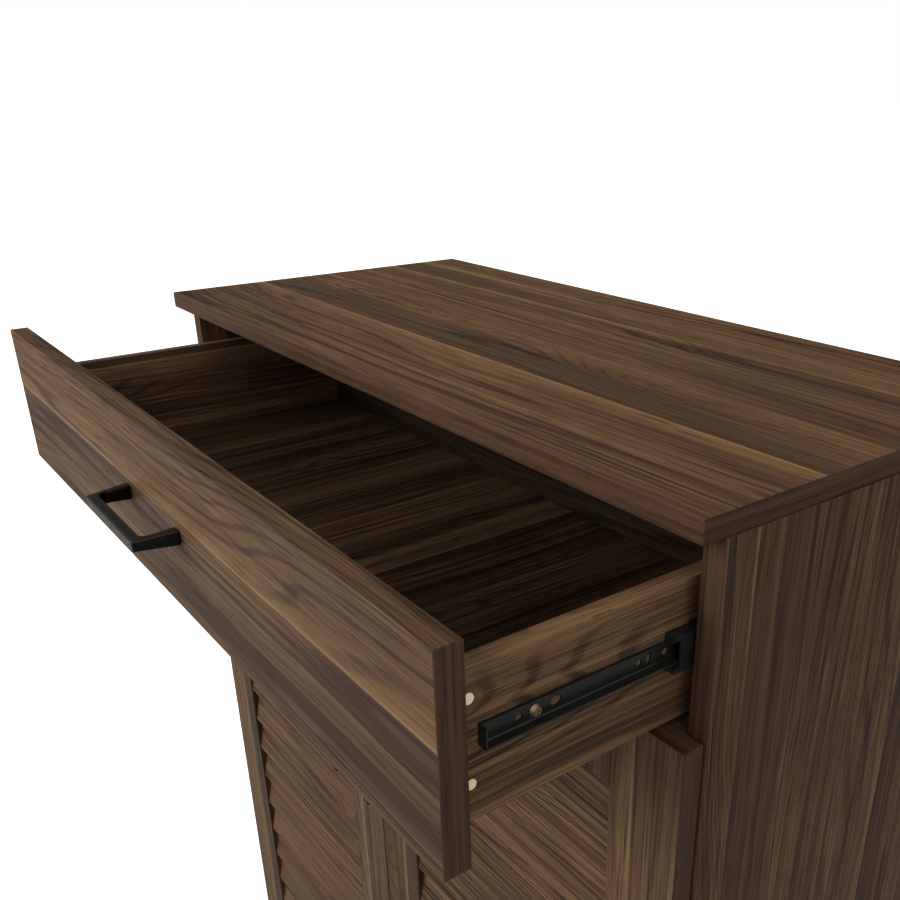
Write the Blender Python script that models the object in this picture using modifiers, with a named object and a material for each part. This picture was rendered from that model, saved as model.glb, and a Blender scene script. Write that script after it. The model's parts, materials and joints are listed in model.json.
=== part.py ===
"""A free-standing shoe cabinet: one drawer over two framed louvre doors on concealed cup hinges.

Metres, +Z up, +Y to the back. The origin is on the floor, under the middle of the object's box.
The drawer stands open by DRAWER_OUT and the doors are closed.
"""

import math

import bmesh
import bpy
from mathutils import Matrix, Vector

# Overall size
WIDTH = 0.750
DEPTH = 0.350
HEIGHT = 1.000

# Boards
TOP_T = 0.015
SIDE_T = 0.016
SHELF_T = 0.015
BACK_T = 0.003
FRONT_T = 0.016
DRAWER_T = 0.012
BOTTOM_T = 0.003
GAP = 0.0003
EDGE = 0.0005

# Where the boards stand
SETBACK = 0.018
PLINTH_H = 0.050
PLINTH_RECESS = 0.030
REVEAL = 0.001
CENTRE_GAP = 0.0008
SHELVES = 4
SHELF_RECESS = 0.030

# Fronts
DRAWER_FRONT_TOP = HEIGHT - 0.0162
DRAWER_FRONT_H = 0.1278
DOOR_TOP = DRAWER_FRONT_TOP - DRAWER_FRONT_H - 0.0012
FRAME_W = 0.060
SLATS = 16
SLAT_PITCH = 0.04275
SLAT_STEP = 0.0078
SLAT_TIP = 0.0015
SLAT_LIP = 0.0020
TONGUE_T = 0.003
TONGUE_REACH = 0.006
PANEL_BACK = 0.0127
DOOR_H = SLATS * SLAT_PITCH + 2 * FRAME_W

# Drawer box
DRAWER_OUT = 0.161
DRAWER_LOW = 0.858
DRAWER_HIGH = 0.950
DRAWER_DEEP = 0.316
GROOVE_LIFT = 0.0035
GROOVE_REACH = 0.005

# Ball slides, 10 mm thick
RAIL_Z = HEIGHT - 0.090
RAIL_SHEET = 0.0012
CABINET_RAIL_HALF = 0.0135
CABINET_RAIL_DEEP = 0.0085
CABINET_RAIL_START = 0.022
CABINET_RAIL_LONG = 0.300
DRAWER_RAIL_HALF = 0.0065
DRAWER_RAIL_DEEP = 0.0070
DRAWER_RAIL_LIP = 0.0022
DRAWER_RAIL_FOLD = 0.0007
DRAWER_RAIL_START = 0.0387
DRAWER_RAIL_LONG = 0.283
CAGE_LONG = 0.118
CAGE_START = 0.0850
CAGE_NOTCH = 0.0045
RAIL_SCREW_AT = 0.0346

# Pull handles
HANDLE_REACH = 0.031
HANDLE_HALF = 0.0516
HANDLE_BASE_OUT = 0.0557
HANDLE_BASE_IN = 0.0472
HANDLE_BAR = 0.0074
HANDLE_BAR_H = 0.0080
HANDLE_BASE_H = 0.0115
DOOR_HANDLE_Z = 0.661

# Cup hinges: u runs inwards from the door's outer edge, v forwards from its back face
HINGE_INSET = 0.100
CUP_U = 0.0205
CUP_R = 0.0175
CUP_DEEP = 0.0115
ARM_PIN = Vector((0.0255, -0.0045))
CUP_PIN = Vector((0.0070, 0.0015))
PIN_R = 0.0011
LINK_RISE = 0.0060
LINK_HALF_T = 0.0010
LINK_HALF_H = 0.0044

# Derived places
FRONT_Y = -(DEPTH - DRAWER_OUT - HANDLE_REACH) / 2
BACK_Y = FRONT_Y + DEPTH
SIDE_FRONT_Y = FRONT_Y + SETBACK
SIDE_BACK_Y = BACK_Y - BACK_T - GAP
DOOR_BACK_Y = FRONT_Y + FRONT_T
SIDE_IN = WIDTH / 2 - SIDE_T
FACE_EDGE = WIDTH / 2 - REVEAL
DOOR_LOW = DOOR_TOP - DOOR_H
DIVIDER_TOP = DOOR_TOP - 0.0018
RAIL_OUT = SIDE_IN - GAP
RAIL_IN = RAIL_OUT - 0.010
DRAWER_OUT_X = RAIL_IN - GAP
DRAWER_IN_X = DRAWER_OUT_X - DRAWER_T
DRAWER_START_Y = DOOR_BACK_Y + GAP
DRAWER_END_Y = DOOR_BACK_Y + DRAWER_DEEP
SIDES = {"left": -1, "right": 1}


def clear_scene():
    for thing in list(bpy.data.objects):
        bpy.data.objects.remove(thing)


def new_collection(name):
    collection = bpy.data.collections.new(name)
    bpy.context.scene.collection.children.link(collection)
    return collection


clear_scene()
CABINET = new_collection("shoe_cabinet")
HELPERS = new_collection("helpers")


def material(name, colour, roughness, metallic=0.0):
    made = bpy.data.materials.new(name)
    made.use_nodes = True
    shader = made.node_tree.nodes["Principled BSDF"]
    shader.inputs["Base Color"].default_value = (*colour, 1.0)
    shader.inputs["Roughness"].default_value = roughness
    shader.inputs["Metallic"].default_value = metallic
    return made


WALNUT = (0.105, 0.066, 0.040)
FINISH = {
    "walnut_board": (WALNUT, 0.45, 0.0),
    "walnut_front": ((0.130, 0.088, 0.058), 0.42, 0.0),
    "drawer_board": ((0.090, 0.055, 0.034), 0.50, 0.0),
    "backboard": ((0.120, 0.085, 0.060), 0.60, 0.0),
    "black_handle": ((0.006, 0.006, 0.006), 0.18, 0.9),
    "black_slide": ((0.012, 0.013, 0.014), 0.38, 0.8),
    "black_plastic": ((0.010, 0.010, 0.010), 0.50, 0.0),
    "zinc_screw": ((0.480, 0.400, 0.290), 0.30, 1.0),
    "cream_cam": ((0.720, 0.640, 0.430), 0.45, 0.0),
    "nickel_hinge": ((0.560, 0.550, 0.530), 0.28, 1.0),
}


def add(name, mesh, finish, parent=None):
    """The mesh as a named piece of the cabinet, in its own material."""
    piece = bpy.data.objects.new(name, mesh)
    colour, roughness, metallic = FINISH[finish]
    mesh.materials.append(material(f"{name}_{finish}", colour, roughness, metallic))
    CABINET.objects.link(piece)
    piece.parent = parent
    return piece


def helper(name, mesh, parent=None):
    """A cutter or a shape to be joined: never rendered."""
    piece = bpy.data.objects.new(name, mesh)
    piece.hide_render = True
    piece.display_type = "WIRE"
    HELPERS.objects.link(piece)
    piece.parent = parent
    return piece


def axis_empty(name, place):
    empty = bpy.data.objects.new(name, None)
    empty.location = place
    CABINET.objects.link(empty)
    return empty


def mesh_from(bm, name):
    mesh = bpy.data.meshes.new(name)
    bm.to_mesh(mesh)
    bm.free()
    return mesh


def box_mesh(name, size):
    bm = bmesh.new()
    bmesh.ops.create_cube(bm, size=1.0)
    bmesh.ops.scale(bm, vec=size, verts=bm.verts)
    return mesh_from(bm, name)


def place_box(piece, low, high):
    piece.location = (Vector(low) + Vector(high)) / 2


def board(name, low, high, finish="walnut_board", parent=None, edge=EDGE):
    """A rectangular board between two corners, its edges eased by a small chamfer."""
    size = Vector(high) - Vector(low)
    piece = add(name, box_mesh(name, size), finish, parent)
    place_box(piece, low, high)
    if edge:
        chamfer(piece, edge)
    return piece


def chamfer(piece, width, segments=1):
    bevel = piece.modifiers.new("chamfer", "BEVEL")
    bevel.width = width
    bevel.segments = segments
    bevel.limit_method = "ANGLE"


def box_helper(name, low, high, parent=None):
    size = Vector(high) - Vector(low)
    piece = helper(name, box_mesh(name, size), parent)
    place_box(piece, low, high)
    return piece


def rod_mesh(name, radius, length, sides=24, end_radius=None):
    """A cylinder or cone on the local Z axis, centred on the origin."""
    bm = bmesh.new()
    bmesh.ops.create_cone(
        bm,
        cap_ends=True,
        segments=sides,
        radius1=radius,
        radius2=radius if end_radius is None else end_radius,
        depth=length,
    )
    mesh = mesh_from(bm, name)
    mesh.shade_smooth()
    mesh.set_sharp_from_angle(angle=math.radians(40))
    return mesh


def aim(piece, axis):
    """Turns the local Z axis to a world axis."""
    piece.rotation_euler = Vector((0, 0, 1)).rotation_difference(Vector(axis)).to_euler()


def rod_helper(name, centre, axis, radius, length, parent=None, sides=24, stretch=(1, 1, 1)):
    mesh = rod_mesh(name, radius, length, sides)
    turn = Vector((0, 0, 1)).rotation_difference(Vector(axis)).to_matrix().to_4x4()
    mesh.transform(Matrix.Diagonal((*stretch, 1.0)) @ turn)
    piece = helper(name, mesh, parent)
    piece.location = centre
    return piece


def combine(piece, other, operation):
    boolean = piece.modifiers.new(other.name, "BOOLEAN")
    boolean.operation = operation
    boolean.object = other
    boolean.solver = "EXACT"


def cut(piece, other):
    combine(piece, other, "DIFFERENCE")


def join(piece, other):
    combine(piece, other, "UNION")


def outline_mesh(name, points, thickness):
    """A flat outline in local XY, thickened evenly to both sides, as a closed mesh."""
    curve = bpy.data.curves.new(name, "CURVE")
    curve.dimensions = "2D"
    curve.fill_mode = "BOTH"
    curve.extrude = thickness / 2
    spline = curve.splines.new("POLY")
    spline.points.add(len(points) - 1)
    for corner, (x, y) in zip(spline.points, points):
        corner.co = (x, y, 0.0, 1.0)
    spline.use_cyclic_u = True
    drawn = bpy.data.objects.new(name, curve)
    bpy.context.scene.collection.objects.link(drawn)
    bpy.context.view_layer.update()
    seen = drawn.evaluated_get(bpy.context.evaluated_depsgraph_get())
    mesh = bpy.data.meshes.new_from_object(seen)
    bm = bmesh.new()
    bm.from_mesh(mesh)
    bmesh.ops.remove_doubles(bm, verts=bm.verts, dist=1e-6)
    bmesh.ops.recalc_face_normals(bm, faces=bm.faces)
    bm.to_mesh(mesh)
    bm.free()
    bpy.data.objects.remove(drawn)
    return mesh


def arc(centre, radius, start, end, steps):
    """Points along an arc, angles in radians."""
    angles = [start + (end - start) * i / steps for i in range(steps + 1)]
    return [centre + radius * Vector((math.cos(a), math.sin(a))) for a in angles]


# ---------------------------------------------------------------- carcass


def carcass():
    half = WIDTH / 2
    inner = SIDE_IN - GAP
    board("top_panel", (-half, FRONT_Y, HEIGHT - TOP_T), (half, BACK_Y, HEIGHT))
    under_top = HEIGHT - TOP_T - GAP
    board("side_panel_left", (-half, SIDE_FRONT_Y, 0), (-SIDE_IN, SIDE_BACK_Y, under_top))
    board("side_panel_right", (SIDE_IN, SIDE_FRONT_Y, 0), (half, SIDE_BACK_Y, under_top))
    board(
        "bottom_panel",
        (-inner, SIDE_FRONT_Y, PLINTH_H),
        (inner, SIDE_BACK_Y, PLINTH_H + SHELF_T),
    )
    board(
        "drawer_divider",
        (-inner, SIDE_FRONT_Y, DIVIDER_TOP - SHELF_T),
        (inner, SIDE_BACK_Y, DIVIDER_TOP),
    )
    plinth_y = FRONT_Y + PLINTH_RECESS
    board(
        "plinth_board",
        (-inner, plinth_y, 0),
        (inner, plinth_y + SIDE_T, PLINTH_H - GAP),
    )
    board(
        "back_panel",
        (-half + 0.002, BACK_Y - BACK_T, 0.010),
        (half - 0.002, BACK_Y, under_top),
        "backboard",
        edge=0,
    )
    shelves()


def shelves():
    floor = PLINTH_H + SHELF_T
    ceiling = DIVIDER_TOP - SHELF_T
    clear = (ceiling - floor - SHELVES * SHELF_T) / (SHELVES + 1)
    for i in range(SHELVES):
        low = floor + clear + i * (clear + SHELF_T)
        board(
            f"shelf_{i + 1}",
            (-SIDE_IN + 0.0013, FRONT_Y + SHELF_RECESS, low),
            (SIDE_IN - 0.0013, SIDE_BACK_Y - 0.006, low + SHELF_T),
        )


# ---------------------------------------------------------------- handles


def handle_outline():
    """The pull seen from above: two legs that widen to their bases, and a straight bar."""
    corner = 0.0060
    bar_in = HANDLE_REACH - HANDLE_BAR
    leg_in = HANDLE_BASE_IN + 0.0008
    centre = Vector((leg_in - corner, bar_in - corner))
    inner = arc(centre, corner, 0.0, math.pi / 2, 6)
    right = [Vector((HANDLE_BASE_OUT, 0)), Vector((HANDLE_BASE_IN, 0)), *inner]
    left = [Vector((-p.x, p.y)) for p in reversed(right)]
    front = [Vector((-HANDLE_HALF, HANDLE_REACH)), Vector((HANDLE_HALF, HANDLE_REACH))]
    return right + left + front


def screw_places():
    middle = (HANDLE_BASE_OUT + HANDLE_BASE_IN) / 2
    return (-middle, middle)


def handle(name, centre, upright, parent):
    """A pull on a front's face. Its local Y runs out of the face, and its bases sit GAP off it."""
    mesh = outline_mesh(name, [(p.x, p.y) for p in handle_outline()], HANDLE_BAR_H)
    taper = HANDLE_BASE_H / HANDLE_BAR_H - 1
    for vertex in mesh.vertices:
        vertex.co.z *= 1 + taper * (1 - vertex.co.y / HANDLE_REACH)
    out = Matrix.Rotation(math.pi, 4, "Z")
    roll = Matrix.Rotation(math.pi / 2, 4, "Y") if upright else Matrix.Identity(4)
    mesh.transform(roll @ out)
    piece = add(name, mesh, "black_handle", parent)
    piece.location = (centre[0], centre[1] - GAP, centre[2])
    chamfer(piece, 0.0012, 3)
    return piece


def handle_screws(name, pull, front, centre, upright, parent):
    """The two screws that hold a pull, from the back of its front, and their holes."""
    along = Vector((0, 0, 1)) if upright else Vector((1, 0, 0))
    deep = 0.008
    under_head = FRONT_T + GAP
    head_t = 0.0018
    shank = deep + under_head + head_t / 2
    ends = ("lower", "upper") if upright else ("left", "right")
    for end, offset in zip(ends, screw_places()):
        spot = Vector(centre) + along * offset
        middle = spot + Vector((0, shank / 2 - deep, 0))
        bore = rod_helper(f"{name}_{end}_bore", middle, (0, 1, 0), 0.0023, shank + 0.002, parent, 16)
        cut(front, bore)
        cut(pull, bore)
        screw = add(f"{name}_{end}", rod_mesh(name, 0.0020, shank, 16), "zinc_screw", parent)
        aim(screw, (0, 1, 0))
        screw.location = middle
        head_at = spot + Vector((0, under_head + head_t / 2, 0))
        head = rod_helper(f"{name}_{end}_head", head_at, (0, 1, 0), 0.0040, head_t, parent, 20)
        join(screw, head)


# ---------------------------------------------------------------- drawer


def drawer(slide):
    front = board(
        "drawer_front",
        (-FACE_EDGE, FRONT_Y, DRAWER_FRONT_TOP - DRAWER_FRONT_H),
        (FACE_EDGE, FRONT_Y + FRONT_T, DRAWER_FRONT_TOP),
        "walnut_front",
        slide,
    )
    low = DRAWER_LOW + GROOVE_LIFT
    high = low + BOTTOM_T
    groove_x = DRAWER_IN_X + GROOVE_REACH + GAP
    groove_y = DOOR_BACK_Y - GROOVE_REACH - GAP
    groove = box_helper(
        "bottom_groove",
        (-groove_x, groove_y, low - GAP),
        (groove_x, DRAWER_END_Y + 0.01, high + GAP),
        slide,
    )
    cut(front, groove)
    for name, side in SIDES.items():
        sides = sorted((side * DRAWER_IN_X, side * DRAWER_OUT_X))
        wall = board(
            f"drawer_side_{name}",
            (sides[0], DRAWER_START_Y, DRAWER_LOW),
            (sides[1], DRAWER_END_Y, DRAWER_HIGH),
            "drawer_board",
            slide,
        )
        cut(wall, groove)
        cams(name, side, wall, slide)
        rail_screw(name, side, wall, slide)
    board(
        "drawer_back",
        (-DRAWER_IN_X + GAP, DRAWER_END_Y - DRAWER_T, high + GAP),
        (DRAWER_IN_X - GAP, DRAWER_END_Y, DRAWER_HIGH),
        "drawer_board",
        slide,
    )
    board(
        "drawer_bottom",
        (-groove_x + GAP, groove_y + GAP, low),
        (groove_x - GAP, DRAWER_END_Y, high),
        "drawer_board",
        slide,
        0,
    )
    centre = (0, FRONT_Y, DRAWER_FRONT_TOP - DRAWER_FRONT_H / 2)
    pull = handle("drawer_handle", centre, False, slide)
    handle_screws("drawer_handle_screw", pull, front, centre, False, slide)


def cams(name, side, wall, slide):
    """The cam fasteners that pull the drawer front onto its sides, sunk in the outer faces."""
    radius = 0.0033
    deep = 0.009
    for level, z in (("upper", HEIGHT - 0.068), ("lower", HEIGHT - 0.119)):
        mouth = Vector((side * DRAWER_OUT_X, DOOR_BACK_Y + 0.018, z))
        inwards = Vector((-side, 0, 0))
        hole = rod_helper(
            f"cam_{name}_{level}_hole",
            mouth + inwards * (deep + GAP - 0.001) / 2,
            (1, 0, 0),
            radius + GAP,
            deep + GAP + 0.001,
            slide,
        )
        cut(wall, hole)
        cam = add(f"cam_{name}_{level}", rod_mesh("cam", radius, deep, 24), "cream_cam", slide)
        aim(cam, (side, 0, 0))
        cam.location = mouth + inwards * (deep / 2 - 0.0002)
        chamfer(cam, 0.0003)


def rail_screw(name, side, wall, slide):
    """The cross-head screw at the front of the drawer rail, and its pilot hole."""
    web = side * (RAIL_IN + RAIL_SHEET + GAP)
    spot = Vector((web, FRONT_Y + DRAWER_RAIL_START + RAIL_SCREW_AT, RAIL_Z))
    inwards = Vector((-side, 0, 0))
    long = 0.0110
    middle = spot + inwards * long / 2
    pilot = rod_helper(f"rail_screw_{name}_pilot", middle, (1, 0, 0), 0.0019, long + 0.001, slide, 16)
    cut(wall, pilot)
    screw = add(f"rail_screw_{name}", rod_mesh("rail_screw", 0.0016, long, 16), "zinc_screw", slide)
    aim(screw, (side, 0, 0))
    screw.location = middle
    head_mesh = rod_mesh("rail_screw_head", 0.0040, 0.0018, 24, 0.0026)
    head = helper(f"rail_screw_{name}_head", head_mesh, slide)
    aim(head, (side, 0, 0))
    head.location = spot - inwards * 0.0009
    join(screw, head)
    for way, size in (("flat", (0.0016, 0.0046, 0.0010)), ("tall", (0.0016, 0.0010, 0.0046))):
        corner = Vector(size) / 2
        middle = spot - inwards * 0.0019
        slot = box_helper(f"rail_screw_{name}_{way}", middle - corner, middle + corner, slide)
        cut(screw, slot)


# ---------------------------------------------------------------- slides


def channel_outline(side, web_x, low_x, high_x, half, web_t, flange_t, fold=0.0):
    """A channel's section in XZ: an upright web, and flanges that run to low_x and to high_x.

    The lower inner corner is filled by a slope of the fold's size.
    """
    step = web_t if low_x > web_x else -web_t
    inner_x = web_x + step
    corner = [(inner_x, -half + flange_t)]
    if fold:
        along = math.copysign(fold, step)
        corner = [(inner_x + along, -half + flange_t), (inner_x, -half + flange_t + fold)]
    points = [
        (web_x, -half),
        (low_x, -half),
        (low_x, -half + flange_t),
        *corner,
        (inner_x, half - flange_t),
        (high_x, half - flange_t),
        (high_x, half),
        (web_x, half),
    ]
    return [(side * x, z) for x, z in points]


def channel(name, outline, start, length, finish, parent):
    mesh = outline_mesh(name, outline, length)
    mesh.transform(Matrix.Rotation(math.pi / 2, 4, "X"))
    piece = add(name, mesh, finish, parent)
    piece.location = (0, FRONT_Y + start + length / 2, RAIL_Z)
    return piece


def slides(slide, cages):
    for name, side in SIDES.items():
        lip_x = RAIL_OUT - CABINET_RAIL_DEEP
        channel(
            f"cabinet_rail_{name}",
            channel_outline(side, RAIL_OUT, lip_x, lip_x, CABINET_RAIL_HALF, RAIL_SHEET, RAIL_SHEET),
            CABINET_RAIL_START,
            CABINET_RAIL_LONG,
            "black_slide",
            None,
        )
        ledge_x = RAIL_IN + DRAWER_RAIL_DEEP
        brow_x = RAIL_IN + DRAWER_RAIL_LIP
        section = channel_outline(
            side,
            RAIL_IN,
            ledge_x,
            brow_x,
            DRAWER_RAIL_HALF,
            RAIL_SHEET,
            RAIL_SHEET,
            DRAWER_RAIL_FOLD,
        )
        rail = channel(
            f"drawer_rail_{name}",
            section,
            DRAWER_RAIL_START,
            DRAWER_RAIL_LONG,
            "black_slide",
            slide,
        )
        stop_tab(name, side, rail, slide)
        rail_holes(name, side, rail, slide)
        ball_cage(name, side, cages)


def ball_cage(name, side, cages):
    """The carrier between the rails: a plate, and thick arms that hold the balls above and below."""
    plate_x = RAIL_OUT - RAIL_SHEET - GAP
    plate_t = 0.0012
    arm_x = RAIL_IN + 0.0008
    half = CABINET_RAIL_HALF - RAIL_SHEET - GAP
    arm_t = half - DRAWER_RAIL_HALF - GAP
    cage = channel(
        f"ball_cage_{name}",
        channel_outline(side, plate_x, arm_x, arm_x, half, plate_t, arm_t),
        CAGE_START,
        CAGE_LONG,
        "black_plastic",
        cages,
    )
    across = sorted((side * (plate_x - 0.003), side * (plate_x + 0.003)))
    reach = half - arm_t + 0.002
    notch = box_helper(
        f"ball_cage_{name}_notch",
        (across[0], FRONT_Y + CAGE_START - 0.001, RAIL_Z - reach),
        (across[1], FRONT_Y + CAGE_START + CAGE_NOTCH, RAIL_Z + reach),
        cages,
    )
    cut(cage, notch)


def stop_tab(name, side, rail, slide):
    """The bent tab that closes the drawer rail's front end."""
    start = FRONT_Y + DRAWER_RAIL_START
    reach = sorted((side * (RAIL_IN + RAIL_SHEET / 2), side * (RAIL_IN + DRAWER_RAIL_DEEP - 0.0003)))
    inside = DRAWER_RAIL_HALF - RAIL_SHEET / 2
    tab = box_helper(
        f"drawer_rail_{name}_tab",
        (reach[0], start + 0.0001, RAIL_Z - inside),
        (reach[1], start + RAIL_SHEET, RAIL_Z + inside),
        slide,
    )
    join(rail, tab)


def rail_holes(name, side, rail, slide):
    """Round and slotted fixing holes: distance from the screw, then width and height."""
    holes = (
        (-0.0101, 0.0050, 0.0050),
        (0.0, 0.0044, 0.0044),
        (0.0137, 0.0078, 0.0056),
        (0.0724, 0.0038, 0.0056),
        (0.0794, 0.0032, 0.0084),
        (0.0920, 0.0050, 0.0050),
    )
    screw_y = FRONT_Y + DRAWER_RAIL_START + RAIL_SCREW_AT
    for i, (at, wide, tall) in enumerate(holes):
        hole = rod_helper(
            f"drawer_rail_{name}_hole_{i}",
            (side * (RAIL_IN + RAIL_SHEET / 2), screw_y + at, RAIL_Z),
            (1, 0, 0),
            0.5,
            0.003,
            slide,
            16,
            (1, wide, tall),
        )
        cut(rail, hole)


# ---------------------------------------------------------------- doors


def door_point(side, u, v, z=0.0):
    """A point given by its distance in from the door's outer edge and forwards from its back face."""
    return Vector((side * (FACE_EDGE - u), DOOR_BACK_Y - v, z))


def louvre_outline():
    """The panel's section in YZ: each slat leans out towards its lower edge, then steps back."""
    low = DOOR_LOW + FRAME_W + GAP
    high = DOOR_TOP - FRAME_W - GAP
    tip = FRONT_Y + SLAT_TIP
    root = tip + SLAT_STEP
    back = FRONT_Y + PANEL_BACK
    points = [(back, high), (root, high)]
    for i in range(SLATS):
        under = DOOR_TOP - FRAME_W - (i + 1) * SLAT_PITCH
        edge = max(under, low)
        points.append((tip, edge + SLAT_LIP))
        points.append((tip, edge))
        if i < SLATS - 1:
            points.append((root, edge))
    points.append((back, low))
    return points


def louvre_panel(name, side, hanging):
    """The slats as one machined board, with a tongue all round that sits in the frame's grooves."""
    inner = FACE_EDGE - FRAME_W - GAP
    outer = CENTRE_GAP / 2 + FRAME_W + GAP
    mesh = outline_mesh(f"louvre_panel_{name}", louvre_outline(), inner - outer)
    mesh.transform(Matrix.Rotation(math.pi / 2, 4, "Z") @ Matrix.Rotation(math.pi / 2, 4, "X"))
    panel = add(f"louvre_panel_{name}", mesh, "walnut_front", hanging)
    panel.location = Vector((side * (inner + outer) / 2, 0, 0)) - hanging.location
    across = sorted((side * (outer - GAP - TONGUE_REACH), side * (inner + GAP + TONGUE_REACH)))
    tongue = box_helper(
        f"louvre_panel_{name}_tongue",
        (across[0], FRONT_Y + PANEL_BACK - TONGUE_T, DOOR_LOW + FRAME_W - TONGUE_REACH),
        (across[1], FRONT_Y + PANEL_BACK, DOOR_TOP - FRAME_W + TONGUE_REACH),
    )
    tongue.location -= hanging.location
    tongue.parent = hanging
    join(panel, tongue)


def door_board(name, side, u_range, z_range, hanging):
    xs = sorted(side * (FACE_EDGE - u) for u in u_range)
    piece = board(
        name,
        (xs[0], FRONT_Y, z_range[0]),
        (xs[1], FRONT_Y + FRONT_T, z_range[1]),
        "walnut_front",
        hanging,
    )
    piece.location -= hanging.location
    return piece


def door(name, side):
    hanging = axis_empty(f"door_{name}_cup_pins", door_point(side, *CUP_PIN))
    width = FACE_EDGE - CENTRE_GAP / 2
    full = (DOOR_LOW, DOOR_TOP)
    stile = door_board(f"hinge_stile_{name}", side, (0, FRAME_W), full, hanging)
    meeting = door_board(f"meeting_stile_{name}", side, (width - FRAME_W, width), full, hanging)
    between = (FRAME_W + GAP, width - FRAME_W - GAP)
    top = (DOOR_TOP - FRAME_W, DOOR_TOP)
    bottom = (DOOR_LOW, DOOR_LOW + FRAME_W)
    rails = [
        door_board(f"top_rail_{name}", side, between, top, hanging),
        door_board(f"bottom_rail_{name}", side, between, bottom, hanging),
    ]
    reach = TONGUE_REACH + GAP
    xs = sorted((side * (FACE_EDGE - FRAME_W + reach), side * (CENTRE_GAP / 2 + FRAME_W - reach)))
    groove = box_helper(
        f"louvre_groove_{name}",
        (xs[0], FRONT_Y + PANEL_BACK - TONGUE_T - GAP, DOOR_LOW + FRAME_W - reach),
        (xs[1], FRONT_Y + PANEL_BACK + GAP, DOOR_TOP - FRAME_W + reach),
    )
    groove.location -= hanging.location
    groove.parent = hanging
    for piece in (stile, meeting, *rails):
        cut(piece, groove)
    louvre_panel(name, side, hanging)
    across = side * (CENTRE_GAP / 2 + FRAME_W / 2)
    centre = Vector((across, FRONT_Y, DOOR_HANDLE_Z)) - hanging.location
    pull = handle(f"door_handle_{name}", centre, True, hanging)
    handle_screws(f"door_{name}_handle_screw", pull, meeting, centre, True, hanging)
    for level, z in (("upper", DOOR_TOP - HINGE_INSET), ("lower", DOOR_LOW + HINGE_INSET)):
        hinge(f"{level}_{name}", side, z, stile, hanging)


# ---------------------------------------------------------------- hinges


def hinge_plate(side, points, thickness, name, origin):
    """A hinge piece cut from sheet: its outline in u and v, its thickness along Z, about origin."""
    places = [door_point(side, u, v) - door_point(side, *origin) for u, v in points]
    return outline_mesh(name, [(p.x, p.y) for p in places], thickness)


def hinge(name, side, z, stile, hanging):
    hinge_cup(name, side, z, hanging)
    bore = rod_helper(
        f"hinge_cup_{name}_bore",
        door_point(side, CUP_U, (CUP_DEEP + GAP - 0.001) / 2, z) - hanging.location,
        (0, 1, 0),
        CUP_R + GAP,
        CUP_DEEP + GAP + 0.001,
        hanging,
        40,
    )
    cut(stile, bore)
    hinge_arm(name, side, z)
    hinge_link(name, side, z)


def hinge_cup(name, side, z, hanging):
    """The cup let into the door, with its flange on the back face and the pin across its mouth."""
    sheet = 0.0010
    flange_v = -GAP - sheet / 2
    deep = CUP_DEEP - flange_v
    centre = door_point(side, CUP_U, flange_v + deep / 2, z) - hanging.location
    cup = add(f"hinge_cup_{name}", rod_mesh("cup", CUP_R, deep, 40), "nickel_hinge", hanging)
    aim(cup, (0, 1, 0))
    cup.location = centre
    flange_at = door_point(side, CUP_U, flange_v, z) - hanging.location
    rim = rod_helper(f"hinge_cup_{name}_rim", flange_at, (0, 1, 0), CUP_R + 0.0015, sheet, hanging, 40)
    ear = Vector((0.0080, 0.4 * sheet, 0.0310))
    ears = box_helper(f"hinge_cup_{name}_ears", flange_at - ear, flange_at + ear, hanging)
    mouth = 0.003
    inside = rod_helper(
        f"hinge_cup_{name}_inside",
        door_point(side, CUP_U, (CUP_DEEP - sheet - mouth) / 2, z) - hanging.location,
        (0, 1, 0),
        CUP_R - sheet,
        CUP_DEEP - sheet + mouth,
        hanging,
        40,
    )
    pin = rod_helper(f"hinge_cup_{name}_pin", (0, 0, z), (0, 0, 1), PIN_R, 0.0194, hanging, 12)
    join(cup, rim)
    join(cup, ears)
    cut(cup, inside)
    join(cup, pin)


def hinge_arm(name, side, z):
    """The arm on the side panel: a mounting plate, a tapering arm, and two cheeks with a pin."""
    wall = SIDE_T - REVEAL + GAP
    eye = 0.0026
    u, v = ARM_PIN
    nose = arc(ARM_PIN, eye, 0.0, math.pi, 8)
    outline = [(wall + 0.0015, -0.057), (wall + 0.0060, -0.057), (u + eye, -0.030)]
    outline += [tuple(p) for p in nose]
    outline += [(u - eye, v - 0.004), (wall + 0.0015, v - 0.012)]
    mesh = hinge_plate(side, outline, 0.0130, f"hinge_arm_{name}", ARM_PIN)
    arm = add(f"hinge_arm_{name}", mesh, "nickel_hinge")
    arm.location = door_point(side, *ARM_PIN, z)
    xs = sorted((door_point(side, wall, 0).x, door_point(side, wall + 0.0020, 0).x))
    plate = box_helper(
        f"hinge_arm_{name}_plate",
        (xs[0], DOOR_BACK_Y + 0.024, z - 0.024),
        (xs[1], DOOR_BACK_Y + 0.050, z + 0.024),
    )
    slot = box_helper(
        f"hinge_arm_{name}_slot",
        (arm.location.x - 0.008, DOOR_BACK_Y - 0.002, z - LINK_HALF_H - 0.0004),
        (arm.location.x + 0.008, DOOR_BACK_Y + 0.0080, z + LINK_HALF_H + 0.0004),
    )
    pin = rod_helper(f"hinge_arm_{name}_pin", arm.location, (0, 0, 1), PIN_R, 0.0120, None, 12)
    join(arm, plate)
    cut(arm, slot)
    join(arm, pin)


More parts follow.
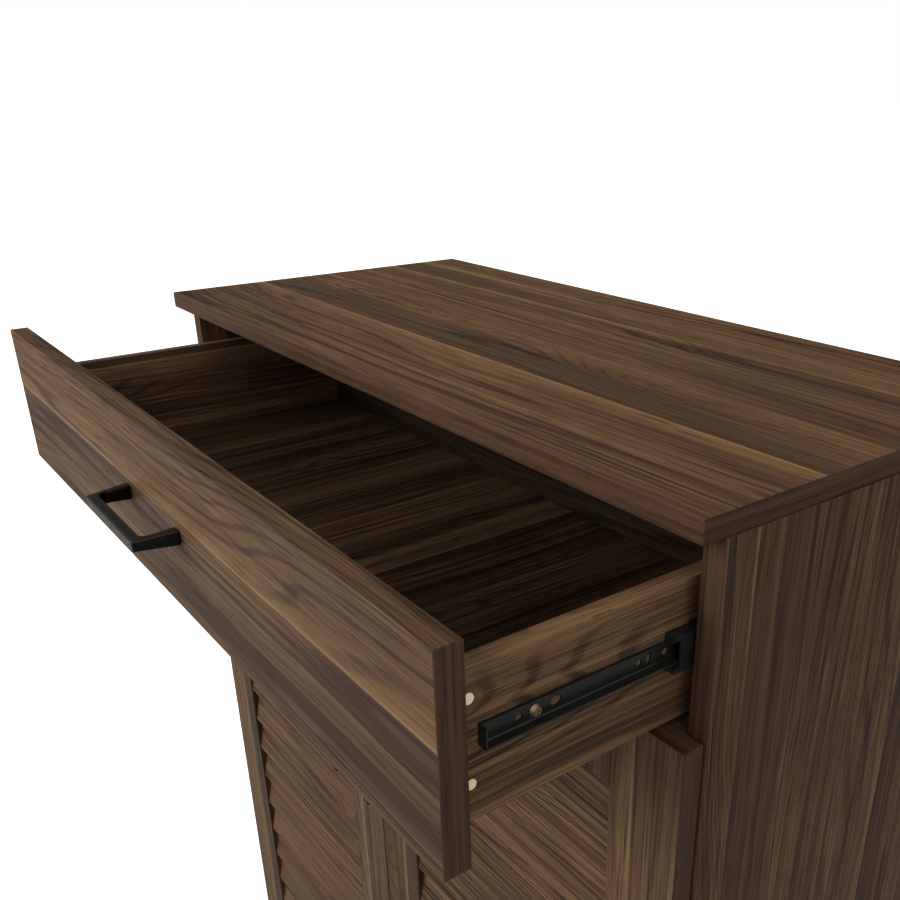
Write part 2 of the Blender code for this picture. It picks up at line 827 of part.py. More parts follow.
def hinge_link(name, side, z):
    """The curved link between the arm's pin and the cup's pin."""
    along = ARM_PIN - CUP_PIN
    chord = along.length
    along.normalize()
    rise = Vector((-along.y, along.x))
    radius = (chord**2 / 4 + LINK_RISE**2) / (2 * LINK_RISE)
    centre = CUP_PIN + along * chord / 2 + rise * (LINK_RISE - radius)
    start = math.atan2(*reversed(CUP_PIN - centre))
    end = math.atan2(*reversed(ARM_PIN - centre))
    band = arc(centre, radius + LINK_HALF_T, start, end, 10)
    band += reversed(arc(centre, radius - LINK_HALF_T, start, end, 10))
    tall = 2 * LINK_HALF_H
    mesh = hinge_plate(side, band, tall, f"hinge_link_{name}", ARM_PIN)
    link = add(f"hinge_link_{name}", mesh, "nickel_hinge")
    link.location = door_point(side, *ARM_PIN, z)
    for end_name, spot, radius in (("arm", ARM_PIN, 0.0022), ("cup", CUP_PIN, 0.0020)):
        place = door_point(side, *spot, z)
        eye = rod_helper(f"hinge_link_{name}_{end_name}_eye", place, (0, 0, 1), radius, tall, None, 20)
        join(link, eye)
    for end_name, spot in (("arm", ARM_PIN), ("cup", CUP_PIN)):
        place = door_point(side, *spot, z)
        bore_name = f"hinge_link_{name}_{end_name}_bore"
        bore = rod_helper(bore_name, place, (0, 0, 1), PIN_R + GAP, tall + 0.002, None, 16)
        cut(link, bore)


# ---------------------------------------------------------------- assembly

carcass()
drawer_slide = axis_empty("drawer_slide", (0, -DRAWER_OUT, 0))
cage_slide = axis_empty("cage_slide", (0, -DRAWER_OUT / 2, 0))
drawer(drawer_slide)
slides(drawer_slide, cage_slide)
for side_name, side_sign in SIDES.items():
    door(side_name, side_sign)
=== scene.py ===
"""The shoe cabinet's looks: walnut laminate, black pull handles and slides, on a pale floor.

Metres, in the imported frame: +Z up, the fronts face -Y. Wood is drawn from object coordinates, so a
board keeps its own grain wherever its body moves.
"""

import json
import math

import bmesh
import bpy
from mathutils import Matrix, Vector

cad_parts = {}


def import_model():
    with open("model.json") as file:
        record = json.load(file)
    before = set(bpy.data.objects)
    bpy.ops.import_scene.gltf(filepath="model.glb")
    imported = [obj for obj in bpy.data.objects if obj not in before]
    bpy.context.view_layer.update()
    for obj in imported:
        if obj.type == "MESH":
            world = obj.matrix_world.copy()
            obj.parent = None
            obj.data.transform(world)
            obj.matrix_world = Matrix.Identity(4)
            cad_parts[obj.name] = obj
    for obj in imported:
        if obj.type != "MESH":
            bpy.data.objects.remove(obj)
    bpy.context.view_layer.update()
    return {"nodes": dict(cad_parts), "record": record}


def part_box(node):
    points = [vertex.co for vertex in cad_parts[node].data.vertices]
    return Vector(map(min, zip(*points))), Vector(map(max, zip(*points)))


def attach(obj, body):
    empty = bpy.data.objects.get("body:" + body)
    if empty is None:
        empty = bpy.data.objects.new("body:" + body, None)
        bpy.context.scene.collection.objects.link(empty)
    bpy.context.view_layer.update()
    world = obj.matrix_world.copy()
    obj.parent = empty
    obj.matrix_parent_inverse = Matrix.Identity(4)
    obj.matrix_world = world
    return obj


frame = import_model()
NODES = frame["nodes"]
X, Y, Z = range(3)
SIDES = {"left": -1, "right": 1}
LEVELS = ("upper", "lower")
SHELVES = 4


# ---------------------------------------------------------------- node helpers


class Graph:
    """A short way to write a node tree. Every call returns the output socket it made."""

    def __init__(self, tree):
        self.tree = tree

    def node(self, kind, **settings):
        made = self.tree.nodes.new(kind)
        for key, value in settings.items():
            setattr(made, key, value)
        return made

    def put(self, socket, value):
        if isinstance(value, bpy.types.NodeSocket):
            self.tree.links.new(value, socket)
        else:
            socket.default_value = value

    def math(self, operation, *values, clamp=False):
        made = self.node("ShaderNodeMath", operation=operation, use_clamp=clamp)
        for socket, value in zip(made.inputs, values):
            self.put(socket, value)
        return made.outputs[0]

    def vector(self, x, y, z):
        made = self.node("ShaderNodeCombineXYZ")
        for socket, value in zip(made.inputs, (x, y, z)):
            self.put(socket, value)
        return made.outputs[0]

    def split(self, vector):
        made = self.node("ShaderNodeSeparateXYZ")
        self.put(made.inputs[0], vector)
        return made.outputs

    def noise(self, vector, detail=2.0, roughness=0.5, scale=1.0):
        made = self.node("ShaderNodeTexNoise", noise_dimensions="3D")
        self.put(made.inputs["Vector"], vector)
        made.inputs["Scale"].default_value = scale
        made.inputs["Detail"].default_value = detail
        made.inputs["Roughness"].default_value = roughness
        return made.outputs["Fac"]

    def step(self, value, low, high, to_low=0.0, to_high=1.0):
        """A smooth step of value between low and high."""
        made = self.node("ShaderNodeMapRange", interpolation_type="SMOOTHSTEP")
        for key, entry in zip(
            ("Value", "From Min", "From Max", "To Min", "To Max"),
            (value, low, high, to_low, to_high),
        ):
            self.put(made.inputs[key], entry)
        return made.outputs["Result"]

    def ramp(self, value, stops):
        made = self.node("ShaderNodeValToRGB")
        elements = made.color_ramp.elements
        while len(elements) < len(stops):
            elements.new(0.5)
        for element, (place, colour) in zip(elements, stops):
            element.position = place
            element.color = (*colour, 1.0)
        self.put(made.inputs[0], value)
        return made.outputs["Color"]

    def mix(self, factor, first, second, blend="MIX"):
        made = self.node("ShaderNodeMix", data_type="RGBA", blend_type=blend)
        self.put(made.inputs["Factor"], factor)
        for key, value in (("A", first), ("B", second)):
            socket = [s for s in made.inputs if s.name == key and s.type == "RGBA"][0]
            self.put(socket, (*value, 1.0) if isinstance(value, tuple) else value)
        return [s for s in made.outputs if s.type == "RGBA"][0]

    def choose(self, factor, first, second):
        """first where factor is 0 and second where it is 1, for plain numbers."""
        made = self.node("ShaderNodeMix", data_type="FLOAT")
        self.put(made.inputs["Factor"], factor)
        floats = [s for s in made.inputs if s.type == "VALUE" and s.name in ("A", "B")]
        self.put(floats[0], first)
        self.put(floats[1], second)
        return [s for s in made.outputs if s.type == "VALUE"][0]

    def bump(self, height, strength, distance):
        made = self.node("ShaderNodeBump")
        made.inputs["Strength"].default_value = strength
        made.inputs["Distance"].default_value = distance
        self.put(made.inputs["Height"], height)
        return made.outputs["Normal"]


def new_material(name, roughness, metallic=0.0, specular=0.5):
    made = bpy.data.materials.new(name)
    made.use_nodes = True
    shader = made.node_tree.nodes["Principled BSDF"]
    shader.inputs["Roughness"].default_value = roughness
    shader.inputs["Metallic"].default_value = metallic
    shader.inputs["Specular IOR Level"].default_value = specular
    return made, Graph(made.node_tree), shader


def object_point(graph):
    return graph.node("ShaderNodeTexCoord").outputs["Object"]


# ---------------------------------------------------------------- walnut

DARK = (0.0180, 0.0100, 0.0060)
DEEP = (0.0500, 0.0280, 0.0160)
MIDDLE = (0.0980, 0.0560, 0.0300)
WARM = (0.1420, 0.0840, 0.0430)
PALE = (0.2150, 0.1330, 0.0640)
SAPWOOD = (0.2900, 0.1880, 0.0860)
SMOKY = (0.0560, 0.0355, 0.0225)
BAND_DARK = (0.0290, 0.0155, 0.0090)
BAND_PALE = (0.0860, 0.0480, 0.0280)

LEAF_WIDTH = 1 / 6
RING_RADIANS_PER_METRE = 620.0
WOOD_ROUGHNESS = 0.40
WOOD_SPECULAR = 0.10


def interface(group, inputs, outputs):
    for name, kind in inputs:
        group.interface.new_socket(name, in_out="INPUT", socket_type=kind)
    for name, kind in outputs:
        group.interface.new_socket(name, in_out="OUTPUT", socket_type=kind)


def figure_group():
    """Flat-sawn walnut: leaves of veneer with their own figure, streaks at the joins, fibres, pores."""
    group = bpy.data.node_groups.new("walnut_figure", "ShaderNodeTree")
    numbers = ("Along", "Across", "Seed", "Lines", "Leaf", "Streaks")
    interface(
        group,
        [(name, "NodeSocketFloat") for name in numbers],
        [("Colour", "NodeSocketColor"), ("Height", "NodeSocketFloat"), ("Gloss", "NodeSocketFloat")],
    )
    g = Graph(group)
    given = g.node("NodeGroupInput").outputs
    along, across, seed, lines, leaf_shift, streaks = (given[name] for name in numbers)

    def stretched(bent, depth, per_along, per_across, shift, detail=2.0, roughness=0.5):
        """Noise drawn out along the grain, by its cycles per metre along it and across it."""
        place = g.vector(
            g.math("MULTIPLY", along, per_along),
            g.math("MULTIPLY_ADD", bent, per_across, shift),
            depth,
        )
        return g.noise(place, detail, roughness)

    def centred(value):
        return g.math("SUBTRACT", value, 0.5)

    # Which leaf of veneer a point is on, how far across it, and how far from its join
    leaf_place = g.math("DIVIDE", g.math("ADD", across, leaf_shift), LEAF_WIDTH)
    leaf = g.math("FLOOR", leaf_place)
    in_leaf = g.math("FRACT", leaf_place)
    to_join = g.math("MULTIPLY", g.math("SUBTRACT", 1.0, in_leaf), LEAF_WIDTH)
    chance = g.node("ShaderNodeTexWhiteNoise", noise_dimensions="2D")
    g.put(chance.inputs["Vector"], g.vector(leaf, seed, 0.0))
    leaf_look = g.split(chance.outputs["Color"])
    depth = g.math("MULTIPLY_ADD", leaf_look[0], 9.0, seed)

    # The grain's slow bends
    wander = centred(stretched(across, depth, 1.5, 5.0, 3.0))
    ripple = centred(stretched(across, depth, 6.0, 16.0, 9.0))
    bent = g.math("MULTIPLY_ADD", wander, 0.034, across)
    bent = g.math("MULTIPLY_ADD", ripple, 0.004, bent)

    # Growth rings, swirling round a few eyes
    eye = g.node("ShaderNodeTexVoronoi", voronoi_dimensions="3D")
    eye.inputs["Scale"].default_value = 1.0
    eye_place = g.vector(g.math("MULTIPLY", along, 2.2), g.math("MULTIPLY", bent, 13.0), depth)
    g.put(eye.inputs["Vector"], eye_place)
    knot = g.step(eye.outputs["Distance"], 0.55, 0.0)
    knot = g.math("MULTIPLY", knot, g.step(g.split(eye.outputs["Color"])[0], 0.38, 0.44))
    contour = stretched(bent, depth, 1.2, 8.0, 21.0, 2.0, 0.42)
    contour = g.math("MULTIPLY_ADD", knot, 0.50, contour)
    fuzz = centred(stretched(bent, depth, 14.0, 120.0, 27.0))
    phase = g.math("MULTIPLY_ADD", contour, 105.0, g.math("MULTIPLY", fuzz, 2.6))
    phase = g.math("MULTIPLY_ADD", bent, RING_RADIANS_PER_METRE, phase)
    rings = g.step(g.math("SINE", phase), 0.25, 1.0)
    ringed = g.step(stretched(bent, depth, 1.5, 9.0, 33.0), 0.40, 0.60, 0.10, 1.0)

    # Streaks and fibres of four widths, added up to one tone
    broad = centred(stretched(bent, depth, 0.9, 17.0, 40.0, 3.0, 0.5))
    medium = centred(stretched(bent, depth, 0.8, 75.0, 55.0, 3.0, 0.55))
    fine = centred(stretched(bent, depth, 2.4, 290.0, 70.0, 3.0, 0.6))
    fibre = centred(stretched(bent, depth, 8.0, 850.0, 81.0, 3.0, 0.6))
    calm = g.math("MULTIPLY_ADD", streaks, 0.75, 0.25)
    tone = g.math("MULTIPLY_ADD", g.math("MULTIPLY", broad, calm), 0.58, 0.56)
    tone = g.math("MULTIPLY_ADD", centred(leaf_look[1]), 0.16, tone)
    medium_lines = g.math("MULTIPLY", g.math("MULTIPLY", medium, lines), calm)
    tone = g.math("MULTIPLY_ADD", medium_lines, 0.34, tone)
    tone = g.math("MULTIPLY_ADD", g.math("MULTIPLY", fine, lines), 0.66, tone)
    tone = g.math("MULTIPLY_ADD", g.math("MULTIPLY", fibre, lines), 0.90, tone)
    tone = g.math("MULTIPLY_ADD", g.math("MULTIPLY", rings, ringed), -0.23, tone)
    tone = g.math("MULTIPLY_ADD", knot, -0.10, tone)
    colour = g.ramp(
        tone,
        [(0.08, DARK), (0.32, DEEP), (0.50, MIDDLE), (0.68, WARM), (0.95, PALE)],
    )

    # Smoky clouds, most of them on the leaf's heart side
    heart = g.step(in_leaf, 0.42, 0.0, 0.0, 0.22)
    cloud = g.math("ADD", stretched(bent, depth, 1.7, 13.0, 61.0, 3.0, 0.5), heart)
    clouded = g.math("MULTIPLY", g.step(cloud, 0.52, 0.74, 0.0, 0.66), calm)
    colour = g.mix(clouded, colour, SMOKY)

    # The pale sapwood on one side of each join, and a hairline along it
    ragged = g.math("MULTIPLY_ADD", fine, 0.022, to_join)
    fading = g.step(stretched(across, seed, 1.6, 9.0, 97.0), 0.36, 0.60, 0.55, 1.0)
    fading = g.math("MULTIPLY", fading, streaks)
    glow = g.math("MULTIPLY", g.step(ragged, 0.022, 0.0, 0.0, 0.30), fading)
    colour = g.mix(glow, colour, SAPWOOD)
    hairline = g.math("MULTIPLY", g.step(to_join, 0.0034, 0.0010, 0.0, 0.50), fading)
    colour = g.mix(hairline, colour, SAPWOOD)

    # Stray pale lines, dark cracks and short dark pores
    pale_line = g.step(stretched(bent, depth, 0.6, 44.0, 131.0, 1.0, 0.4), 0.66, 0.74, 0.0, 0.42)
    colour = g.mix(g.math("MULTIPLY", pale_line, streaks), colour, SAPWOOD)
    crack = g.math("ABSOLUTE", centred(stretched(bent, depth, 0.55, 19.0, 121.0, 2.0, 0.5)))
    cracked = g.math("MULTIPLY", g.step(crack, 0.016, 0.003, 0.0, 0.60), calm)
    colour = g.mix(cracked, colour, DARK)
    pores = g.step(stretched(bent, depth, 22.0, 1200.0, 150.0, 1.0, 0.4), 0.56, 0.68)
    colour = g.mix(g.math("MULTIPLY", pores, 0.58), colour, DARK)

    height = g.math("MULTIPLY_ADD", fine, 0.5, g.math("MULTIPLY", pores, -0.5))
    out = g.node("NodeGroupOutput").inputs
    g.put(out["Colour"], colour)
    g.put(out["Height"], height)
    g.put(out["Gloss"], g.math("MULTIPLY_ADD", medium, 0.16, g.math("MULTIPLY", pores, 0.12)))
    return group


def band_group():
    """The plain edge banding: darker and redder, with short faint streaks."""
    group = bpy.data.node_groups.new("edge_band", "ShaderNodeTree")
    interface(
        group,
        [("Along", "NodeSocketFloat"), ("Across", "NodeSocketFloat")],
        [("Colour", "NodeSocketColor")],
    )
    g = Graph(group)
    given = g.node("NodeGroupInput").outputs
    coarse = g.vector(
        g.math("MULTIPLY", given["Along"], 3.5), g.math("MULTIPLY", given["Across"], 240.0), 0.5
    )
    fine = g.vector(
        g.math("MULTIPLY", given["Along"], 30.0), g.math("MULTIPLY", given["Across"], 1100.0), 4.5
    )
    tone = g.math("MULTIPLY_ADD", g.noise(coarse, 4.0, 0.6), 2.0, -1.15)
    tone = g.math("MULTIPLY_ADD", g.noise(fine, 3.0, 0.6), 1.3, tone)
    colour = g.ramp(tone, [(0.10, BAND_DARK), (0.90, BAND_PALE)])
    g.put(g.node("NodeGroupOutput").inputs["Colour"], colour)
    return group


FIGURE = figure_group()
BAND = band_group()


def walnut(
    name,
    grain,
    thickness,
    seed,
    tone,
    banded,
    lines,
    join,
    squeeze=1.0,
    streaks=1.0,
    wrap=None,
):
    """Laminate on a board whose figure runs along one axis, with banding on its thin edges.

    tone scales its colour, lines its fine grain and streaks its broad one. join is where two leaves
    of veneer meet, and squeeze draws the figure narrower, or turned over where it is negative. Where
    wrap gives the place of the face, the figure runs on over the long edges from there, and only the
    ends are banded.
    """
    made, g, shader = new_material(name, WOOD_ROUGHNESS, specular=WOOD_SPECULAR)
    place = g.split(object_point(g))
    cross = 3 - grain - thickness
    across = place[cross] if banded else g.math("ADD", place[cross], place[thickness])
    if wrap is not None:
        across = g.math("ADD", across, g.math("SUBTRACT", place[thickness], wrap))
    figure = g.node("ShaderNodeGroup", node_tree=FIGURE)
    g.put(figure.inputs["Along"], g.math("ADD", place[grain], 1.37 * seed))
    g.put(figure.inputs["Across"], g.math("MULTIPLY", across, squeeze))
    figure.inputs["Seed"].default_value = 0.731 * seed
    figure.inputs["Lines"].default_value = lines
    figure.inputs["Leaf"].default_value = LEAF_WIDTH - join * squeeze
    figure.inputs["Streaks"].default_value = streaks
    colour = figure.outputs["Colour"]
    if tone != 1.0:
        colour = g.mix(1.0, colour, (tone, tone, tone), "MULTIPLY")
    if banded:
        facing = g.split(g.node("ShaderNodeTexCoord").outputs["Normal"])
        on_end = g.math("GREATER_THAN", g.math("ABSOLUTE", facing[grain]), 0.5)
        on_band = on_end
        if wrap is None:
            on_band = g.math("LESS_THAN", g.math("ABSOLUTE", facing[thickness]), 0.8)
        band = g.node("ShaderNodeGroup", node_tree=BAND)
        g.put(band.inputs["Along"], g.choose(on_end, place[grain], place[cross]))
        g.put(band.inputs["Across"], place[thickness])
        colour = g.mix(on_band, colour, band.outputs["Colour"])
    g.put(shader.inputs["Base Color"], colour)
    g.put(shader.inputs["Roughness"], g.math("ADD", figure.outputs["Gloss"], WOOD_ROUGHNESS))
    g.put(shader.inputs["Normal"], g.bump(figure.outputs["Height"], 0.10, 0.0003))
    return made


# ---------------------------------------------------------------- metal and plastic


def speckled(name, dark, pale, scale, roughness, spread, metallic=0.0, specular=0.5):
    """A moulded, painted or plated finish: small changes of colour and gloss, and a faint texture."""
    made, g, shader = new_material(name, roughness, metallic, specular)
    point = object_point(g)
    broad = g.noise(point, 3.0, 0.55, scale)
    grain = g.noise(point, 2.0, 0.5, scale * 14)
    g.put(shader.inputs["Base Color"], g.ramp(broad, [(0.3, dark), (0.7, pale)]))
    low, high = roughness - spread, roughness + spread
    g.put(shader.inputs["Roughness"], g.step(grain, 0.3, 0.7, low, high))
    g.put(shader.inputs["Normal"], g.bump(grain, 0.05, 0.0002))
    return made


def finishes():
    return {
        "black_handle": speckled(
            "black_handle_finish",
            dark=(0.0010, 0.0010, 0.0009),
            pale=(0.0018, 0.0017, 0.0016),
            scale=40,
            roughness=0.13,
            spread=0.02,
            specular=0.22,
        ),
        "black_slide": speckled(
            "black_slide_finish",
            dark=(0.0060, 0.0078, 0.0070),
            pale=(0.0105, 0.0128, 0.0116),
            scale=60,
            roughness=0.30,
            spread=0.06,
            specular=0.45,
        ),
        "black_plastic": speckled(
            "black_cage_finish",
            dark=(0.0060, 0.0070, 0.0064),
            pale=(0.0115, 0.0130, 0.0120),
            scale=80,
            roughness=0.40,
            spread=0.06,
        ),
        "zinc_screw": speckled(
            "zinc_screw_finish",
            dark=(0.22, 0.155, 0.09),
            pale=(0.36, 0.27, 0.17),
            scale=300,
            roughness=0.30,
            spread=0.08,
            metallic=0.85,
        ),
        "cream_cam": speckled(
            "cream_cam_finish",
            dark=(0.92, 0.80, 0.46),
            pale=(0.96, 0.88, 0.60),
            scale=200,
            roughness=0.45,
            spread=0.05,
        ),
        "nickel_hinge": speckled(
            "nickel_hinge_finish",
            dark=(0.50, 0.49, 0.47),
            pale=(0.62, 0.61, 0.59),
            scale=120,
            roughness=0.26,
            spread=0.07,
            metallic=1.0,
        ),
    }


def wood_of_nodes():
    """Each board's grain axis, thickness axis, seed, tone, line strength and one join of its leaves."""
    boards = {
        "top_panel": (X, Z, 1, 1.16, 1.0, 0.020),
        "side_panel_left": (Z, X, 2, 0.92, 1.3, -0.034),
        "side_panel_right": (Z, X, 3, 0.92, 1.3, -0.034),
        "bottom_panel": (X, Z, 4, 0.9, 1.0, 0.05),
        "drawer_divider": (X, Z, 5, 0.9, 1.0, 0.02),
        "plinth_board": (X, Y, 6, 0.9, 1.0, 0.03),
        "back_panel": (X, Y, 7, 0.9, 1.0, 0.04),
        "drawer_front": (X, Y, 8, 0.94, 1.0, 0.930),
        "drawer_side_left": (Y, X, 9, 1.22, 1.2, 0.607),
        "drawer_side_right": (Y, X, 10, 1.24, 1.2, 1.303),
        # The drawer back's and drawer bottom's low tones are painted shade inside the drawer.
        "drawer_back": (X, Y, 11, 0.21, 1.4, 0.90),
        "drawer_bottom": (Y, Z, 12, 0.50, 1.9, -0.050),
    }
    for i in range(SHELVES):
        boards[f"shelf_{i + 1}"] = (X, Z, 13 + i, 0.9, 1.0, 0.04 * i)
    for i, (side, out) in enumerate(SIDES.items()):
        # The left hinge stile's lower tone, 0.78 against 1.0 on the right, is painted shade on that
        # side.
        boards[f"hinge_stile_{side}"] = (Z, Y, 20 + i, 0.78 + 0.22 * i, 1.0, 0.335 * out)
        boards[f"meeting_stile_{side}"] = (Z, Y, 22 + i, 0.88, 1.0, 0.040 * out)
        boards[f"top_rail_{side}"] = (Z, Y, 24 + i, 0.95, 1.0, 0.180 * out)
        boards[f"bottom_rail_{side}"] = (Z, Y, 26 + i, 0.95, 1.0, 0.180 * out)
    return boards


def dress(node, material):
    node.data.materials.clear()
    node.data.materials.append(material)


def dress_nodes():
    for name, (grain, thickness, seed, tone, lines, join) in wood_of_nodes().items():
        banded = not name.startswith(("drawer_side", "drawer_back", "drawer_bottom", "back_panel"))
        flip, wrap = 1.0, None
        if name == "drawer_front":
            flip, wrap = -1.0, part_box(name)[0][Y]
        streaks = 0.7 if name.startswith("side_panel") else 1.0
        wood = walnut(
            f"{name}_walnut", grain, thickness, seed, tone, banded, lines, join, flip, streaks, wrap
        )
        dress(NODES[name], wood)
    for seed, side in enumerate(SIDES, 40):
        louvres = walnut(
            f"louvre_{side}_walnut",
            X,
            Y,
            seed,
            tone=0.86,
            banded=False,
            lines=2.7,
            join=0.0,
            squeeze=1.7,
            streaks=0.05,
        )
        dress(NODES[f"louvre_panel_{side}"], louvres)
    slots = {entry["node"]: entry["material_slot"] for entry in frame["record"]["subparts"]}
    for name, node in NODES.items():
        if slots[name] in FINISHES:
            dress(node, FINISHES[slots[name]])


FINISHES = finishes()
dress_nodes()


# ---------------------------------------------------------------- small fittings


def turned_mesh(name, profile, sides=24):
    """A mesh turned about Z from (radius, height) pairs that start and end on the axis."""
    bm = bmesh.new()
    rings = []
    for radius, height in profile:
        if radius == 0:
            rings.append([bm.verts.new((0, 0, height))])
            continue
        turn = [2 * math.pi * i / sides for i in range(sides)]
        rings.append([bm.verts.new((radius * math.cos(a), radius * math.sin(a), height)) for a in turn])
    for low, high in zip(rings, rings[1:]):
        for i in range(sides):
            j = (i + 1) % sides
            corners = [low[i % len(low)], low[j % len(low)], high[j % len(high)], high[i % len(high)]]
            bm.faces.new(list(dict.fromkeys(corners)))
    bmesh.ops.recalc_face_normals(bm, faces=bm.faces[:])
    mesh = bpy.data.meshes.new(name)
    bm.to_mesh(mesh)
    bm.free()
    mesh.polygons.foreach_set("use_smooth", [True] * len(mesh.polygons))
    mesh.set_sharp_from_angle(angle=math.radians(40))
    return mesh


def cross_head_mesh():
    """A pan head with a cross recess, its seat at z = 0."""
    r, h = 0.0034, 0.0010
    head = [(0, 0), (r, 0), (r, 0.35 * h), (0.88 * r, 0.8 * h), (0.55 * r, h), (0, 1.05 * h)]
    piece = bpy.data.objects.new("cross_head", turned_mesh("cross_head", head, 32))
    bpy.context.scene.collection.objects.link(piece)
    bm = bmesh.new()
    for wide, tall in ((0.62 * r, 0.13 * r), (0.13 * r, 0.62 * r)):
        lifted = Matrix.Translation((0, 0, h)) @ Matrix.Diagonal((2 * wide, 2 * tall, 1.1 * h, 1))
        bmesh.ops.create_cube(bm, size=1.0, matrix=lifted)
    cutter_mesh = bpy.data.meshes.new("cross_cutter")
    bm.to_mesh(cutter_mesh)
    bm.free()
    cutter = bpy.data.objects.new("cross_cutter", cutter_mesh)
    bpy.context.scene.collection.objects.link(cutter)
    recess = piece.modifiers.new("recess", "BOOLEAN")
    recess.operation = "DIFFERENCE"
    recess.solver = "EXACT"
    recess.use_self = True
    recess.object = cutter
    graph = bpy.context.evaluated_depsgraph_get()
    mesh = bpy.data.meshes.new_from_object(piece.evaluated_get(graph))
    mesh.name = "cross_head"
    for spent in (piece, cutter):
        bpy.data.objects.remove(spent)
    return mesh


def fit(name, mesh, place, direction, finish, body):
    """Stand a small fitting at a place, pointing in a direction, on the body that carries it."""
    piece = bpy.data.objects.new(name, mesh)
    bpy.context.scene.collection.objects.link(piece)
    if not mesh.materials:
        mesh.materials.append(finish)
    piece.location = place
    piece.rotation_euler = Vector(direction).to_track_quat("Z", "Y").to_euler()
    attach(piece, body)


CLEAR = 0.0001
PIN_INSET = 0.037
HINGE_PLATE_T = 0.0020
PLATE_SCREWS_BACK = 0.020
PLATE_SCREW_RISE = 0.0170
FLANGE_SCREW_RISE = 0.0248


def shelf_pins():
    """Four nickel pins hold up each shelf, two in each side panel."""
    collar, peg, reach = 0.0042, 0.0025, 0.0085
    profile = [(0, 0), (collar, 0), (collar, 0.0009), (0.9 * collar, 0.0012), (peg, 0.0012)]
    profile += [(peg, 0.9 * reach), (0.8 * peg, reach), (0, reach)]
    mesh = turned_mesh("shelf_pin", profile)
    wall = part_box("side_panel_right")[0][0]
    for i in range(SHELVES):
        low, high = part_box(f"shelf_{i + 1}")
        for side, sign in SIDES.items():
            for end, y in (("front", low[1] + PIN_INSET), ("rear", high[1] - PIN_INSET)):
                place = (sign * (wall - CLEAR), y, low[2] - peg - CLEAR)
                name = f"shelf_pin_{i + 1}_{side}_{end}"
                fit(name, mesh, place, (-sign, 0, 0), FINISHES["nickel_hinge"], "carcass")


def hinge_screws():
    """Two screws in each hinge's mounting plate, and two in each cup's flange."""
    mesh = cross_head_mesh()
    for side, sign in SIDES.items():
        for level in LEVELS:
            arm_low, arm_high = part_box(f"hinge_arm_{level}_{side}")
            cup_low, cup_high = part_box(f"hinge_cup_{level}_{side}")
            wall = max(abs(arm_low[0]), abs(arm_high[0]))
            arm_z = (arm_low[2] + arm_high[2]) / 2
            cup_x = (cup_low[0] + cup_high[0]) / 2
            cup_z = (cup_low[2] + cup_high[2]) / 2
            for end, up in (("above", 1), ("below", -1)):
                plate_y = arm_high[1] - PLATE_SCREWS_BACK
                place = (sign * (wall - HINGE_PLATE_T), plate_y, arm_z + up * PLATE_SCREW_RISE)
                name = f"hinge_plate_screw_{level}_{side}_{end}"
                fit(name, mesh, place, (-sign, 0, 0), FINISHES["nickel_hinge"], "carcass")
                place = (cup_x, cup_high[1], cup_z + up * FLANGE_SCREW_RISE)
                name = f"hinge_cup_screw_{level}_{side}_{end}"
                fit(name, mesh, place, (0, 1, 0), FINISHES["nickel_hinge"], f"door_{side}")


shelf_pins()
hinge_screws()


# ---------------------------------------------------------------- stage, lights and camera

WARM_LIGHT = (1.0, 0.955, 0.90)
ROOM_TOWARDS = (0.25, -0.72, 0.64)
ROOM_DIM = 0.05
ROOM_BRIGHT = 0.85
FLOOR_NEAR = 0.62
FLOOR_BOUNCE = 0.04
FLOOR_GREY = 0.30
FLOOR_SIZE = 60.0
FLOOR_LOW = 0.0005
SHADOW_ENDS = (0.5, 1.5)
LIT_PLACE = (0.0, -0.1, 0.8)


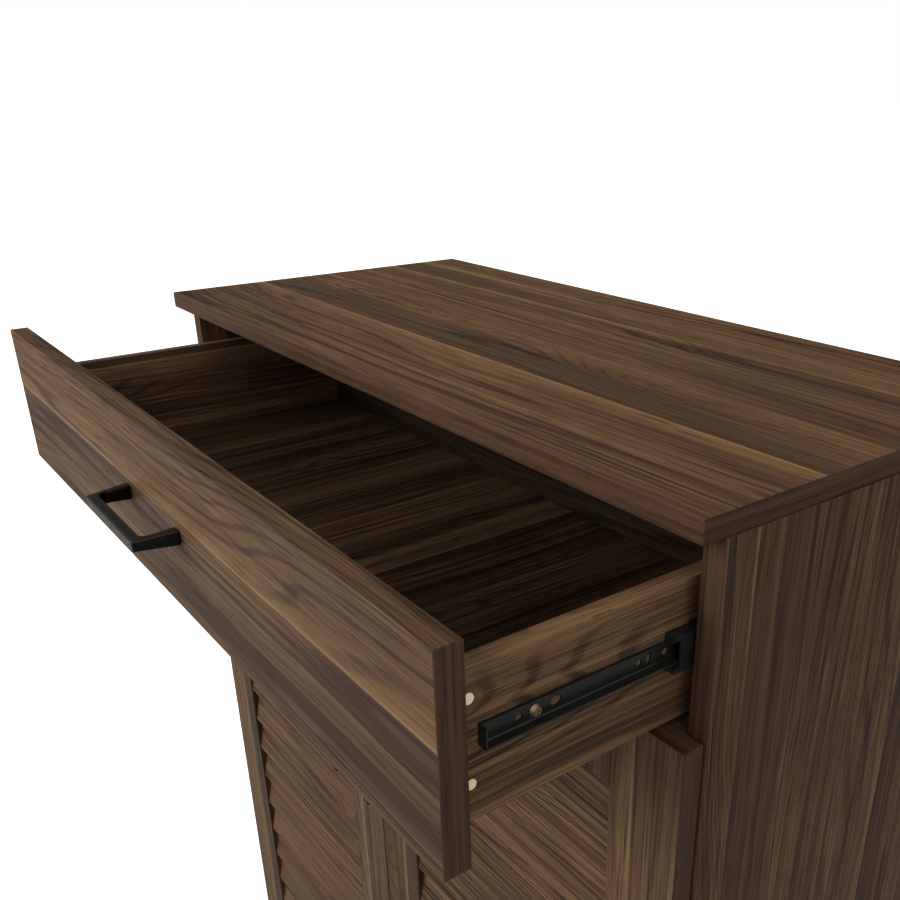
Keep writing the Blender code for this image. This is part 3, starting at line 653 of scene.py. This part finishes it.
def floor():
    """A pale floor that whitens away from the object, so that only its shadow shows."""
    bm = bmesh.new()
    bmesh.ops.create_grid(bm, x_segments=1, y_segments=1, size=FLOOR_SIZE)
    mesh = bpy.data.meshes.new("floor")
    bm.to_mesh(mesh)
    bm.free()
    ground = bpy.data.objects.new("floor", mesh)
    bpy.context.scene.collection.objects.link(ground)
    ground.location.z = -FLOOR_LOW
    made = bpy.data.materials.new("pale_floor")
    made.use_nodes = True
    g = Graph(made.node_tree)
    shader = made.node_tree.nodes["Principled BSDF"]
    shader.inputs["Roughness"].default_value = 0.9
    shader.inputs["Specular IOR Level"].default_value = 0.0
    shader.inputs["Emission Color"].default_value = (1.0, 1.0, 1.0, 1.0)
    away = g.node("ShaderNodeVectorMath", operation="LENGTH")
    g.put(away.inputs[0], object_point(g))
    seen = g.node("ShaderNodeLightPath").outputs["Is Camera Ray"]
    white = g.step(away.outputs["Value"], *SHADOW_ENDS, FLOOR_NEAR, 1.0)
    g.put(shader.inputs["Emission Strength"], g.choose(seen, FLOOR_BOUNCE, white))
    g.put(shader.inputs["Base Color"], g.choose(seen, FLOOR_GREY, 0.80))
    mesh.materials.append(made)


def area_light(name, place, size, power):
    """A soft warm light, aimed at the middle of the object."""
    light = bpy.data.lights.new(name, "AREA")
    light.shape = "RECTANGLE"
    light.size, light.size_y = size
    light.energy = power
    light.color = WARM_LIGHT
    lamp = bpy.data.objects.new(name, light)
    bpy.context.scene.collection.objects.link(lamp)
    lamp.location = place
    aim = Vector(LIT_PLACE) - Vector(place)
    lamp.rotation_euler = aim.to_track_quat("-Z", "Y").to_euler()


def world():
    """White behind the object; for its light, a room that is bright in front and dim behind."""
    sky = bpy.data.worlds.new("studio")
    bpy.context.scene.world = sky
    sky.use_nodes = True
    g = Graph(sky.node_tree)
    background = sky.node_tree.nodes["Background"]
    seen = g.node("ShaderNodeLightPath").outputs["Is Camera Ray"]
    toward = g.node("ShaderNodeVectorMath", operation="DOT_PRODUCT")
    g.put(toward.inputs[0], g.node("ShaderNodeTexCoord").outputs["Generated"])
    toward.inputs[1].default_value = ROOM_TOWARDS
    glow = g.step(toward.outputs["Value"], -0.45, 0.75, ROOM_DIM, ROOM_BRIGHT)
    g.put(background.inputs["Strength"], g.choose(seen, glow, 1.0))
    g.put(background.inputs["Color"], g.mix(seen, WARM_LIGHT, (1.0, 1.0, 1.0)))


def camera():
    lens = bpy.data.cameras.new("camera")
    lens.lens = 39.19
    lens.sensor_width = 36.0
    lens.shift_x = -0.0870
    lens.shift_y = 0.1136
    lens.clip_end = 200.0
    viewer = bpy.data.objects.new("camera", lens)
    bpy.context.scene.collection.objects.link(viewer)
    viewer.location = (0.67462, -0.42196, 1.19646)
    viewer.rotation_euler = [math.radians(a) for a in (64.398, 0.0967, 52.2602)]
    bpy.context.scene.camera = viewer


floor()
world()
area_light("key", place=(-1.5, -3.0, 2.2), size=(2.6, 1.8), power=110.0)
area_light("fill", place=(3.2, -0.9, 1.8), size=(2.0, 2.0), power=16.0)
camera()
bpy.context.scene.view_settings.view_transform = "Standard"
